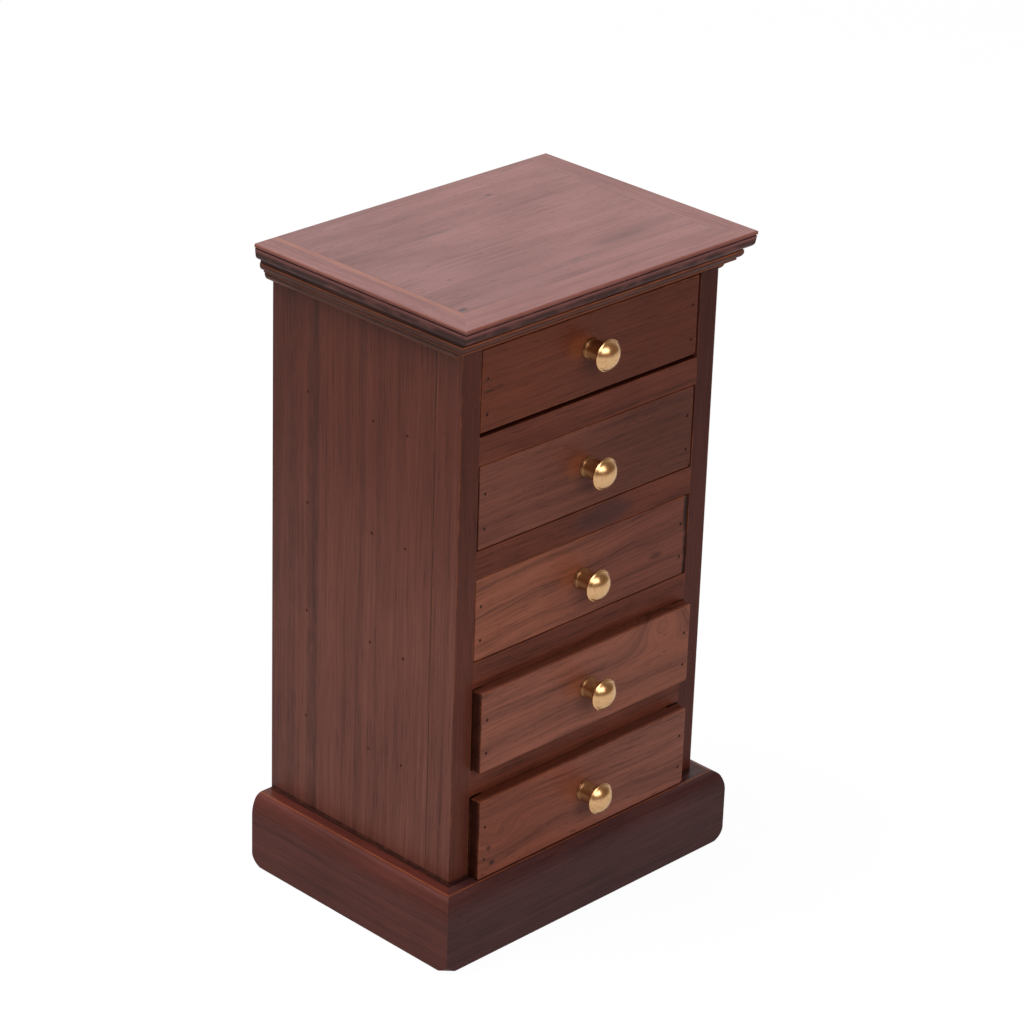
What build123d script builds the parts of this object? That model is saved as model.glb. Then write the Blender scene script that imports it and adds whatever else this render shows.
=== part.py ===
from build123d import *
import math
import os

# Desktop chest of five small drawers: a frame-and-panel hardwood carcass with a moulded top,
# a moulded plinth and five inset drawers that run on rabbeted runners.
# +X is to the right seen from the front, -Y is the front, +Z is up.
# The origin is the middle of the underside of the overall box, knobs included.

# ---- overall sizes, millimetres -------------------------------------------------------------
BODY_WIDTH = 200.0            # carcass, outside of stile to outside of stile
BODY_DEPTH = 150.7            # carcass, face of the stiles to the back
OVERALL_HEIGHT = 392.5        # floor to top surface

# ---- carcass boards -------------------------------------------------------------------------
STILE_WIDTH = 14.2            # front stile, seen from the front
STILE_DEPTH = 19.0            # front stile and rails, front to back
RAIL_HEIGHT = 16.4            # rail between two drawers
TOP_RAIL_HEIGHT = 12.8        # rail above the first drawer
PANEL_THICK = 10.0            # side panels
TONGUE_THICK = 4.0            # tongue of a side panel in its stile
TONGUE_LENGTH = 5.0
BACK_THICK = 5.0              # back panel
BACK_REBATE = 5.0             # how far the back panel laps each side panel
BACK_RAISE = 10.0             # back panel's lower edge above the floor
FLOOR_THICK = 8.0             # bottom board under the lowest runners
TENON_LENGTH = 6.0
TENON_THICK = 8.0
TENON_SHOULDER = 3.0          # shoulder above and below a tenon
JOINT_PLAY = 0.1              # gap round a tenon, tongue or panel in its groove

# ---- top and mouldings ----------------------------------------------------------------------
TOP_THICK = 10.0
TOP_SIDE_OVERHANG = 13.6
TOP_FRONT_OVERHANG = 16.0
TOP_STRIP_LAP = 3.0           # how far the side edging reaches in over the carcass
CORNICE_REACH = 9.8           # thickest place of the cornice strips
CORNICE_SIDE_DROP = 14.0      # height of the side cornice under the top
CORNICE_FRONT_DROP = 8.6      # the front cornice is cut off above the first drawer
PLINTH_HEIGHT = 46.9
PLINTH_REACH = 15.4
PLINTH_TOP_RADIUS = 6.5       # upper part of the plinth's rounded edge
PLINTH_FLANK_RADIUS = 22.0    # flatter lower part of it
PLINTH_ROUND_CHANGE = 25.0    # degrees above level where one radius passes into the other
PLINTH_FOOT_EASE = 0.8        # eased lower edge of the plinth
PLINTH_CORNER_WEAR = 8.5      # radius to which its bottom corners are worn
CORNER_BLOCK = 16.0           # glue block in each corner of the base

# ---- runners --------------------------------------------------------------------------------
RUNNER_WIDTH = 14.0           # runner, from the side panel inwards
GUIDE_HEIGHT = 10.0           # upstand of the runner that guides the drawer's side
RUNNER_PIN_HALF = 0.8         # half the thickness of a square-cut pin
RUNNER_PIN_LENGTH = 19.0
RUNNER_PIN_PLACES = (22.0, 49.0, 102.0)         # behind the rails, through the side panel
PIN_SINK = 0.4                # pin heads lie this far under the wood
PIN_PLAY = 0.05               # gap on each side of a pin

# ---- drawers --------------------------------------------------------------------------------
DRAWER_COUNT = 5
DRAWER_PROUD = (0.0, 0.0, 0.0, 7.0, 8.0)        # how far each is left out, top to bottom
DRAWER_SHIFT = (-0.4, 0.0, -0.6, -0.3, -0.5)    # each sits a little to one side
DRAWER_LIFT = (2.6, 0.7, 0.6, 0.8, 0.6)         # gap under each front
FRONT_TOP_GAP = 0.7           # gap above each front
FRONT_SIDE_GAP = 1.0          # gap at each end of a front
RUN_GAP = 0.3                 # drawer side above its runner
BACK_STOP_GAP = 0.3           # drawer pushed right in, to the back panel
FRONT_THICK = 14.0
FRONT_REBATE = 7.0            # depth of the rebate that takes a side's end
FRONT_ARRIS = 0.8
FRONT_CORNER = 0.7            # corner radius of the fronts
WORN_CORNER = 2.2             # the lower right corner is worn rounder
SIDE_THICK = 8.0
SIDE_INSET = 0.5              # drawer side inside the end of its front
SIDE_CLEAR_TOP = 6.0          # drawer side lower than the opening
DRAWER_BACK_THICK = 7.0
DRAWER_BACK_DROP = 3.0        # back lower than the sides
HOUSING_DEPTH = 3.0           # back and bottom are let this far into the sides
BOTTOM_THICK = 4.0
BOTTOM_RAISE = 4.0            # underside of the bottom above the lower edge of the sides
BACK_INSET = 4.0              # back board, from the rear ends of the sides
FRONT_PIN_HALF = 0.8
FRONT_PIN_LENGTH = 20.0
FRONT_PIN_HEIGHTS = (0.27, 0.73)                # share of the side's height

# ---- knobs ----------------------------------------------------------------------------------
KNOB_OFFSETS = ((-1.5, 3.8), (-0.3, 0.2), (-0.9, -0.55), (-0.1, 0.6), (0.0, 1.4))
KNOB_REACH = 18.5             # top of the dome from the drawer's face
KNOB_HEAD_RADIUS = 9.5
KNOB_RIM_START = 12.3         # underside of the head from the drawer's face
KNOB_RIM_THICK = 1.5
KNOB_RIM_EASE = 0.4           # eased edges of the rim
KNOB_UNDERCUT = 1.2           # slope from the neck out to the rim
KNOB_BASE_THICK = 0.8
KNOB_BASE_RADIUS = 6.4
KNOB_WAIST_RADIUS = 5.9
KNOB_THROAT_RADIUS = 6.4      # where the neck meets the head
SCREW_RADIUS = 2.0
SCREW_GRIP = 8.0              # screw inside the knob
SCREW_PLAY = 0.05
SCREW_HEAD_RADIUS = 3.8
SCREW_HEAD_THICK = 2.4

# ---- places worked out from the sizes above -------------------------------------------------
HALF_WIDTH = BODY_WIDTH / 2
OPENING_HALF = HALF_WIDTH - STILE_WIDTH
PANEL_INNER = HALF_WIDTH - PANEL_THICK
FRONT_REACH = max(PLINTH_REACH, TOP_FRONT_OVERHANG, max(DRAWER_PROUD) + KNOB_REACH)
FRONT_Y = (FRONT_REACH - BODY_DEPTH) / 2
BACK_Y = FRONT_Y + BODY_DEPTH
RAIL_BACK_Y = FRONT_Y + STILE_DEPTH
BACK_PANEL_Y = BACK_Y - BACK_THICK
CARCASS_TOP = OVERALL_HEIGHT - TOP_THICK
OPENINGS_TOP = CARCASS_TOP - TOP_RAIL_HEIGHT
RAILS_BETWEEN = (DRAWER_COUNT - 1) * RAIL_HEIGHT
OPENING_HEIGHT = (OPENINGS_TOP - PLINTH_HEIGHT - RAILS_BETWEEN) / DRAWER_COUNT
FRONT_HALF = OPENING_HALF - FRONT_SIDE_GAP
DRAWER_LENGTH = BACK_PANEL_Y - FRONT_Y - BACK_STOP_GAP
SIDE_HEIGHT = OPENING_HEIGHT - SIDE_CLEAR_TOP


def opening_floor(number):
    """Height of the floor of a drawer's opening; number 1 is the top drawer."""
    return OPENINGS_TOP - number * OPENING_HEIGHT - (number - 1) * RAIL_HEIGHT


def board(x0, x1, y0, y1, z0, z1):
    """A squared board between two opposite corners."""
    centre = Pos((x0 + x1) / 2, (y0 + y1) / 2, (z0 + z1) / 2)
    return centre * Box(x1 - x0, y1 - y0, z1 - z0)


def rod(radius, start, end):
    """A round bar from one point to another."""
    run = Vector(*end) - Vector(*start)
    return extrude(Plane(origin=start, z_dir=run) * Circle(radius), amount=run.length)


def square_pin(half, start, end):
    """A square-cut pin from one point to another, along X or along Y."""
    low = [min(a, b) - (half if a == b else 0) for a, b in zip(start, end)]
    high = [max(a, b) + (half if a == b else 0) for a, b in zip(start, end)]
    return board(low[0], high[0], low[1], high[1], low[2], high[2])


def mirrored(piece):
    """The same piece on the other side of the chest."""
    return mirror(piece, about=Plane.YZ)


# ---- mouldings ------------------------------------------------------------------------------
# A section is drawn once, as reach out from the carcass against height. Where a moulding stands
# further out on the front than on the sides, its reach is stretched there, so that both strips
# meet line for line at the mitre.

def quarter(centre_out, centre_up, radius, start_angle, stretch=1.0):
    """Quarter round in a section, from an angle above the outward direction."""
    if stretch == 1.0:
        return CenterArc((centre_out, centre_up), radius, start_angle, 90)
    return EllipticalCenterArc((centre_out * stretch, centre_up), radius * stretch, radius,
                               start_angle=start_angle, arc_size=90)


def top_edge_section(stretch):
    """Edging of the top: eased upper arris, fine groove and a quarter round underneath."""
    reach = TOP_SIDE_OVERHANG
    low = CARCASS_TOP
    high = OVERALL_HEIGHT
    ease = 0.5
    under = 3.6
    waist = reach - 0.7
    groove = high - 2.9
    corners = [
        (waist, low + under),
        (reach - 0.3, groove),
        (reach - 0.9, groove + 0.2),
        (reach, groove + 0.8),
        (reach, high - ease),
        (reach - ease, high),
        (-TOP_STRIP_LAP, high),
        (-TOP_STRIP_LAP, low),
        (waist - under, low),
    ]
    outline = Polyline(*[(out * stretch, height) for out, height in corners])
    return make_face([outline, quarter(waist - under, low + under, under, -90, stretch)])


def cornice_section(_):
    """Cornice strip: throat, large round, small bead and a quarter round down to the side."""
    high = CARCASS_TOP
    low = high - CORNICE_SIDE_DROP
    bead = high - 7.9
    bead_radius = 0.8
    bead_seat = CORNICE_REACH - 3.6
    lower_radius = 4.6
    round_radius = CORNICE_REACH - bead_seat
    round_high = bead + bead_radius + round_radius
    shoulder = 0.6
    shoulder_low = round_high + 1.0
    throat = CORNICE_REACH - shoulder
    return make_face([
        Line((0, low), (bead_seat - lower_radius, low)),
        quarter(bead_seat - lower_radius, low + lower_radius, lower_radius, -90),
        Line((bead_seat, low + lower_radius), (bead_seat, bead - bead_radius)),
        CenterArc((bead_seat, bead), bead_radius, -90, 180),
        quarter(bead_seat, round_high, round_radius, -90),
        Line((CORNICE_REACH, round_high), (CORNICE_REACH, shoulder_low)),
        Line((CORNICE_REACH, shoulder_low), (throat, shoulder_low + shoulder)),
        Line((throat, shoulder_low + shoulder), (throat, high)),
        Line((throat, high), (0, high)),
        Line((0, high), (0, low)),
    ])


def plinth_section(_):
    """Plinth board: flat top, upper edge rounded with two radii, plain face and eased foot."""
    ease = PLINTH_FOOT_EASE
    turn = math.radians(PLINTH_ROUND_CHANGE)
    difference = PLINTH_FLANK_RADIUS - PLINTH_TOP_RADIUS
    top_centre = (PLINTH_REACH - PLINTH_FLANK_RADIUS + difference * math.cos(turn),
                  PLINTH_HEIGHT - PLINTH_TOP_RADIUS)
    flank_centre = (PLINTH_REACH - PLINTH_FLANK_RADIUS,
                    top_centre[1] - difference * math.sin(turn))
    return make_face([
        Line((0, 0), (PLINTH_REACH - ease, 0)),
        Line((PLINTH_REACH - ease, 0), (PLINTH_REACH, ease)),
        Line((PLINTH_REACH, ease), (PLINTH_REACH, flank_centre[1])),
        CenterArc(flank_centre, PLINTH_FLANK_RADIUS, 0, PLINTH_ROUND_CHANGE),
        CenterArc(top_centre, PLINTH_TOP_RADIUS, PLINTH_ROUND_CHANGE, 90 - PLINTH_ROUND_CHANGE),
        Line((top_centre[0], PLINTH_HEIGHT), (0, PLINTH_HEIGHT)),
        Line((0, PLINTH_HEIGHT), (0, 0)),
    ])


def mitre_plane(side_reach, front_reach):
    """Upright plane from the carcass's front left corner to the moulding's outer corner."""
    return Plane(origin=(-HALF_WIDTH, FRONT_Y, 0), z_dir=(front_reach, -side_reach, 0))


def side_moulding(section, side_reach, front_reach):
    """Left-hand strip, mitred at the front and square at the back."""
    start = FRONT_Y - 2 * front_reach
    face = Plane(origin=(-HALF_WIDTH, start, 0), x_dir=(-1, 0, 0), z_dir=(0, 1, 0)) * section(1.0)
    strip = extrude(face, amount=BACK_Y - start, dir=(0, 1, 0))
    return split(strip, bisect_by=mitre_plane(side_reach, front_reach), keep=Keep.BOTTOM)


def front_moulding(section, side_reach, front_reach):
    """Front strip, mitred at both ends."""
    start = HALF_WIDTH + 2 * side_reach
    face = Plane(origin=(start, FRONT_Y, 0), x_dir=(0, -1, 0), z_dir=(-1, 0, 0))
    strip = extrude(face * section(front_reach / side_reach), amount=2 * start, dir=(-1, 0, 0))
    mitre = mitre_plane(side_reach, front_reach)
    strip = split(strip, bisect_by=mitre, keep=Keep.TOP)
    return split(mirrored(strip), bisect_by=mitre, keep=Keep.TOP)


# ---- top, cornice and plinth ----------------------------------------------------------------

def top_pieces():
    """Top board with its mitred edging on three sides."""
    reaches = (TOP_SIDE_OVERHANG, TOP_FRONT_OVERHANG)
    side = side_moulding(top_edge_section, *reaches)
    front_lap = TOP_STRIP_LAP * TOP_FRONT_OVERHANG / TOP_SIDE_OVERHANG
    half = HALF_WIDTH - TOP_STRIP_LAP
    return {
        "top_board": board(-half, half, FRONT_Y + front_lap, BACK_Y, CARCASS_TOP, OVERALL_HEIGHT),
        "top_edge_front": front_moulding(top_edge_section, *reaches),
        "top_edge_left": side,
        "top_edge_right": mirrored(side),
    }


def cornice_pieces():
    """Cornice strips; below the front strip the side strips stop at the carcass's face."""
    reaches = (CORNICE_REACH, CORNICE_REACH)
    low = CARCASS_TOP - CORNICE_SIDE_DROP
    step = CARCASS_TOP - CORNICE_FRONT_DROP
    far = HALF_WIDTH + 2 * CORNICE_REACH
    ahead = FRONT_Y - 2 * CORNICE_REACH
    below_front = board(-far, far, ahead, FRONT_Y, low - 1, step)
    side = side_moulding(cornice_section, *reaches) - below_front
    return {
        "cornice_front": front_moulding(cornice_section, *reaches) - below_front,
        "cornice_left": side,
        "cornice_right": mirrored(side),
    }


def worn_corner(side, end, corner_y):
    """What is worn off a bottom corner of the plinth; side and end give its outward diagonal."""
    corner = (side * (HALF_WIDTH + PLINTH_REACH), corner_y, 0)
    wear = PLINTH_CORNER_WEAR
    centre_up = wear - 0.05
    section = Plane(origin=corner, x_dir=(side, end, 0), z_dir=(end, -side, 0)) * make_face([
        CenterArc((-wear, centre_up), wear, -90, 90),
        Polyline((0, centre_up), (2, centre_up), (2, -1), (-wear, -1), (-wear, centre_up - wear)),
    ])
    return extrude(section, amount=1.5 * wear, both=True)


def plinth_pieces():
    """Plinth boards round the front and both sides, with worn bottom corners."""
    reaches = (PLINTH_REACH, PLINTH_REACH)
    front_corner = worn_corner(-1, -1, FRONT_Y - PLINTH_REACH)
    side = side_moulding(plinth_section, *reaches) - front_corner - worn_corner(-1, 1, BACK_Y)
    front = front_moulding(plinth_section, *reaches) - front_corner - mirrored(front_corner)
    return {
        "plinth_front": front,
        "plinth_left": side,
        "plinth_right": mirrored(side),
    }


# ---- carcass --------------------------------------------------------------------------------

def rail_levels():
    """Each rail's name with its lower and upper edge, from the top down."""
    levels = {"rail_top": (OPENINGS_TOP, CARCASS_TOP)}
    for number in range(1, DRAWER_COUNT + 1):
        upper = opening_floor(number)
        levels[f"rail_{number}"] = (upper - RAIL_HEIGHT, upper)
    return levels


def tenon(low, high, play):
    """Right-hand tenon of a rail; with play it is the mortise cut in the stile."""
    middle = FRONT_Y + STILE_DEPTH / 2
    start = OPENING_HALF - play
    end = OPENING_HALF + TENON_LENGTH + play
    half = TENON_THICK / 2 + play
    return board(start, end, middle - half, middle + half,
                 low + TENON_SHOULDER - play, high - TENON_SHOULDER + play)


def rail(low, high):
    """Rail between the stiles, with a tenon at each end."""
    middle = board(-OPENING_HALF, OPENING_HALF, FRONT_Y, RAIL_BACK_Y, low, high)
    end = tenon(low, high, 0)
    return middle + end + mirrored(end)


def tongue(play):
    """Right-hand side panel's tongue; with play it is the groove in the stile's back."""
    outer = HALF_WIDTH - (PANEL_THICK - TONGUE_THICK) / 2
    return board(outer - TONGUE_THICK - play, outer + play, RAIL_BACK_Y - TONGUE_LENGTH - play,
                 RAIL_BACK_Y + play, -play, CARCASS_TOP + play)


def stile_right():
    """Front stile, grooved for the side panel and mortised for the rails."""
    post = board(OPENING_HALF, HALF_WIDTH, FRONT_Y, RAIL_BACK_Y, 0, CARCASS_TOP)
    post -= tongue(JOINT_PLAY)
    for low, high in rail_levels().values():
        post -= tenon(low, high, JOINT_PLAY)
    return post


def runner_pins_right():
    """Start and end of each pin that holds a right-hand runner through the side panel."""
    outside = HALF_WIDTH - PIN_SINK
    pins = []
    for number in range(1, DRAWER_COUNT + 1):
        height = opening_floor(number) - RAIL_HEIGHT / 2
        for place in RUNNER_PIN_PLACES:
            y = RAIL_BACK_Y + place
            pins.append(((outside, y, height), (outside - RUNNER_PIN_LENGTH, y, height)))
    return pins


def runner_pin_holes():
    """Holes for the right-hand runner pins, open at the outside of the panel."""
    holes = []
    for start, end in runner_pins_right():
        mouth = (HALF_WIDTH + 1, start[1], start[2])
        bottom = (end[0] - PIN_PLAY, end[1], end[2])
        holes.append(square_pin(RUNNER_PIN_HALF + PIN_PLAY, mouth, bottom))
    return holes


def side_panel_right():
    """Side panel with a tongue for the stile, a rebate for the back and its pin holes."""
    panel = board(PANEL_INNER, HALF_WIDTH, RAIL_BACK_Y, BACK_Y, 0, CARCASS_TOP)
    outer = HALF_WIDTH - (PANEL_THICK - TONGUE_THICK) / 2
    panel += board(outer - TONGUE_THICK, outer, RAIL_BACK_Y - TONGUE_LENGTH, RAIL_BACK_Y,
                   0, CARCASS_TOP)
    panel -= board(PANEL_INNER - 1, PANEL_INNER + BACK_REBATE + JOINT_PLAY,
                   BACK_PANEL_Y - JOINT_PLAY, BACK_Y + 1, -1, CARCASS_TOP + 1)
    for hole in runner_pin_holes():
        panel -= hole
    return panel


def runners_right():
    """Rabbeted runners for the right-hand ends of the drawers, and the kicker above them."""
    holes = runner_pin_holes()
    inner = PANEL_INNER - RUNNER_WIDTH
    end = BACK_PANEL_Y - JOINT_PLAY
    pieces = []
    for number in range(1, DRAWER_COUNT + 1):
        upper = opening_floor(number)
        runner = board(inner, PANEL_INNER, RAIL_BACK_Y, end, upper - RAIL_HEIGHT, upper)
        runner += board(OPENING_HALF, PANEL_INNER, RAIL_BACK_Y, end, upper, upper + GUIDE_HEIGHT)
        first = (number - 1) * len(RUNNER_PIN_PLACES)
        own = holes[first:first + len(RUNNER_PIN_PLACES)]
        for hole in own:
            runner -= hole
        pieces.append(runner)
    pieces.append(board(inner, PANEL_INNER, RAIL_BACK_Y, end, OPENINGS_TOP, CARCASS_TOP))
    return pieces


def corner_blocks():
    """Glue blocks that stiffen the four corners of the base, under the bottom board."""
    under = opening_floor(DRAWER_COUNT) - RAIL_HEIGHT - FLOOR_THICK
    front = board(PANEL_INNER - CORNER_BLOCK, PANEL_INNER, RAIL_BACK_Y,
                  RAIL_BACK_Y + CORNER_BLOCK, 0, under)
    back = board(PANEL_INNER - CORNER_BLOCK, PANEL_INNER, BACK_PANEL_Y - JOINT_PLAY - CORNER_BLOCK,
                 BACK_PANEL_Y - JOINT_PLAY, 0, under)
    blocks = [chamfer(block.edges().filter_by(Axis.Z).sort_by(Axis.X)[0:2], CORNER_BLOCK / 4)
              for block in (front, back)]
    return blocks + [mirrored(block) for block in blocks]


def carcass_pieces():
    """Everything of the carcass but its top, cornice and plinth."""
    stile = stile_right()
    panel = side_panel_right()
    runners = runners_right()
    pins = [square_pin(RUNNER_PIN_HALF, start, end) for start, end in runner_pins_right()]
    floor_top = opening_floor(DRAWER_COUNT) - RAIL_HEIGHT
    back_half = PANEL_INNER + BACK_REBATE
    pieces = {
        "stile_left": mirrored(stile),
        "stile_right": stile,
        "side_panel_left": mirrored(panel),
        "side_panel_right": panel,
        "back_panel": board(-back_half, back_half, BACK_PANEL_Y, BACK_Y, BACK_RAISE, CARCASS_TOP),
        "bottom_board": board(-PANEL_INNER, PANEL_INNER, RAIL_BACK_Y, BACK_PANEL_Y - JOINT_PLAY,
                              floor_top - FLOOR_THICK, floor_top),
        "drawer_runners": Compound(runners + [mirrored(piece) for piece in runners]),
        "runner_pins": Compound(pins + [mirrored(pin) for pin in pins]),
        "corner_blocks": Compound(corner_blocks()),
    }
    for name, (low, high) in rail_levels().items():
        pieces[name] = rail(low, high)
    return pieces


# ---- drawers --------------------------------------------------------------------------------

def front_pins(face, low):
    """Pins through the front into the right-hand side of a centred drawer."""
    x = FRONT_HALF - SIDE_INSET - SIDE_THICK / 2
    pins = []
    for share in FRONT_PIN_HEIGHTS:
        height = low + share * SIDE_HEIGHT
        pins.append(((x, face + PIN_SINK, height), (x, face + PIN_SINK + FRONT_PIN_LENGTH, height)))
    return pins


def front_pin_holes(face, low):
    """Holes for the right-hand front pins, open at the drawer's face."""
    half = FRONT_PIN_HALF + PIN_PLAY
    return [square_pin(half, (start[0], face - 1, start[2]), (end[0], end[1] + PIN_PLAY, end[2]))
            for start, end in front_pins(face, low)]


def drawer_front(number, face, low, knob_x, knob_z):
    """Front with rounded arrises, end rebates, a groove for the bottom and its holes."""
    floor = opening_floor(number)
    bottom = floor + DRAWER_LIFT[number - 1]
    top = floor + OPENING_HEIGHT - FRONT_TOP_GAP
    front = board(-FRONT_HALF, FRONT_HALF, face, face + FRONT_THICK, bottom, top)
    corners = front.edges().filter_by(Axis.Y).sort_by(Axis.X)
    left = corners[0:2]
    right = corners[2:4].sort_by(Axis.Z)
    front = fillet(left + right[1:2], FRONT_CORNER)
    worn = [edge for edge in front.edges().filter_by(Axis.Y)
            if edge.center().X > FRONT_HALF - 0.01 and edge.center().Z < bottom + 0.01]
    front = fillet(worn, WORN_CORNER)
    outline = [edge for edge in front.edges() if abs(edge.center().Y - face) < 0.01]
    front = fillet(outline, min(FRONT_ARRIS, FRONT_CORNER * 0.9))
    side_inner = FRONT_HALF - SIDE_INSET - SIDE_THICK - JOINT_PLAY
    seat = face + FRONT_THICK - FRONT_REBATE
    rebate = board(side_inner, FRONT_HALF + 1, seat, face + FRONT_THICK + 1, bottom - 1, top + 1)
    groove_low = low + BOTTOM_RAISE - JOINT_PLAY
    groove = board(-side_inner - 1, side_inner + 1, face + FRONT_THICK - HOUSING_DEPTH - JOINT_PLAY,
                   face + FRONT_THICK + 1, groove_low, groove_low + BOTTOM_THICK + 2 * JOINT_PLAY)
    front = front - rebate - mirrored(rebate) - groove
    for hole in front_pin_holes(face, low):
        front = front - hole - mirrored(hole)
    return front - rod(SCREW_RADIUS + SCREW_PLAY, (knob_x, face - 1, knob_z),
                       (knob_x, face + FRONT_THICK + 1, knob_z))


def drawer_side(face, low):
    """Right-hand side, housed for the back and grooved for the bottom."""
    outer = FRONT_HALF - SIDE_INSET
    inner = outer - SIDE_THICK
    start = face + FRONT_THICK - FRONT_REBATE
    end = face + DRAWER_LENGTH
    side = board(inner, outer, start, end, low, low + SIDE_HEIGHT)
    top_edges = side.edges().filter_by(Axis.Y).group_by(Axis.Z)[-1]
    side = fillet(top_edges, SIDE_THICK / 8)
    depth = inner + HOUSING_DEPTH + JOINT_PLAY
    back_start = end - BACK_INSET - DRAWER_BACK_THICK - JOINT_PLAY
    back_low = low + BOTTOM_RAISE + BOTTOM_THICK
    side -= board(inner - 1, depth, back_start, end - BACK_INSET + JOINT_PLAY,
                  back_low, low + SIDE_HEIGHT + 1)
    side -= board(inner - 1, depth, start - 1, end + 1, low + BOTTOM_RAISE - JOINT_PLAY,
                  low + BOTTOM_RAISE + BOTTOM_THICK + JOINT_PLAY)
    for hole in front_pin_holes(face, low):
        side -= hole
    return side


def drawer_back(face, low):
    """Back board between the sides, standing on the bottom."""
    half = FRONT_HALF - SIDE_INSET - SIDE_THICK + HOUSING_DEPTH
    end = face + DRAWER_LENGTH - BACK_INSET
    return board(-half, half, end - DRAWER_BACK_THICK, end, low + BOTTOM_RAISE + BOTTOM_THICK
                 + JOINT_PLAY, low + SIDE_HEIGHT - DRAWER_BACK_DROP)


def drawer_bottom(face, low):
    """Thin bottom, slid in from behind under the back board."""
    half = FRONT_HALF - SIDE_INSET - SIDE_THICK + HOUSING_DEPTH
    start = face + FRONT_THICK - HOUSING_DEPTH
    return board(-half, half, start, face + DRAWER_LENGTH - BACK_INSET,
                 low + BOTTOM_RAISE, low + BOTTOM_RAISE + BOTTOM_THICK)


def knob(face, x, z):
    """Turned knob: flared base, waisted neck, thin rim and a domed head, bored for its screw."""
    rim_top = KNOB_RIM_START + KNOB_RIM_THICK
    dome_radius = KNOB_HEAD_RADIUS - KNOB_RIM_EASE
    rise = KNOB_REACH - rim_top
    curve = (dome_radius ** 2 + rise ** 2) / (2 * rise)
    half_angle = math.asin(dome_radius / curve) / 2
    dome_middle = (curve * math.sin(half_angle), KNOB_REACH - curve * (1 - math.cos(half_angle)))
    throat_up = KNOB_RIM_START - KNOB_UNDERCUT
    rim_ease = KNOB_RIM_EASE
    half_section = make_face([
        Polyline((0, KNOB_REACH), (0, 0), (KNOB_BASE_RADIUS, 0), (KNOB_BASE_RADIUS, KNOB_BASE_THICK)),
        ThreePointArc((KNOB_BASE_RADIUS, KNOB_BASE_THICK),
                      (KNOB_WAIST_RADIUS, (KNOB_BASE_THICK + throat_up) / 2),
                      (KNOB_THROAT_RADIUS, throat_up)),
        Polyline((KNOB_THROAT_RADIUS, throat_up), (KNOB_HEAD_RADIUS - rim_ease, KNOB_RIM_START),
                 (KNOB_HEAD_RADIUS, KNOB_RIM_START + rim_ease), (KNOB_HEAD_RADIUS, rim_top - rim_ease),
                 (dome_radius, rim_top)),
        ThreePointArc((dome_radius, rim_top), dome_middle, (0, KNOB_REACH)),
    ])
    turned = revolve(half_section, axis=Axis.Y)
    turned -= rod(SCREW_RADIUS + SCREW_PLAY, (0, -1, 0), (0, SCREW_GRIP + 2 * SCREW_PLAY, 0))
    return Pos(x, face, z) * Rot(0, 0, 180) * turned


def knob_screw(face, x, z):
    """Pan-head screw from inside the drawer, with a slotted head."""
    inside = face + FRONT_THICK
    head = rod(SCREW_HEAD_RADIUS, (x, inside, z), (x, inside + SCREW_HEAD_THICK, z))
    rim = head.edges().filter_by(GeomType.CIRCLE).sort_by(Axis.Y)[-1]
    head = chamfer(rim, SCREW_HEAD_THICK * 0.4)
    slot = board(x - SCREW_HEAD_RADIUS, x + SCREW_HEAD_RADIUS, inside + SCREW_HEAD_THICK / 2,
                 inside + SCREW_HEAD_THICK + 1, z - 0.5, z + 0.5)
    return rod(SCREW_RADIUS, (x, face - SCREW_GRIP, z), (x, inside, z)) + (head - slot)


def drawer_pieces(number):
    """One drawer's seven pieces, each with its place in the chest."""
    index = number - 1
    face = FRONT_Y - DRAWER_PROUD[index]
    low = opening_floor(number) + RUN_GAP
    across, up = KNOB_OFFSETS[index]
    knob_z = opening_floor(number) + OPENING_HEIGHT / 2 + up
    aside = Pos(DRAWER_SHIFT[index], 0, 0)
    side = drawer_side(face, low)
    pins = [square_pin(FRONT_PIN_HALF, start, end) for start, end in front_pins(face, low)]
    screw = knob_screw(face, across, knob_z)
    name = f"drawer_{number}"
    return {
        f"{name}_front": aside * drawer_front(number, face, low, across, knob_z),
        f"{name}_left_side": aside * mirrored(side),
        f"{name}_right_side": aside * side,
        f"{name}_back": aside * drawer_back(face, low),
        f"{name}_bottom": aside * drawer_bottom(face, low),
        f"{name}_knob": aside * knob(face, across, knob_z),
        f"{name}_fasteners": aside * Compound([screw] + pins + [mirrored(pin) for pin in pins]),
    }


def chest():
    """All the pieces of the chest by name."""
    pieces = {}
    pieces.update(top_pieces())
    pieces.update(cornice_pieces())
    pieces.update(plinth_pieces())
    pieces.update(carcass_pieces())
    for number in range(1, DRAWER_COUNT + 1):
        pieces.update(drawer_pieces(number))
    return pieces


os.makedirs("parts", exist_ok=True)
for node, piece in chest().items():
    export_step(piece, f"parts/{node}.step")
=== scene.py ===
import math
from collections import namedtuple

import bpy
from mathutils import Matrix, Vector


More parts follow.
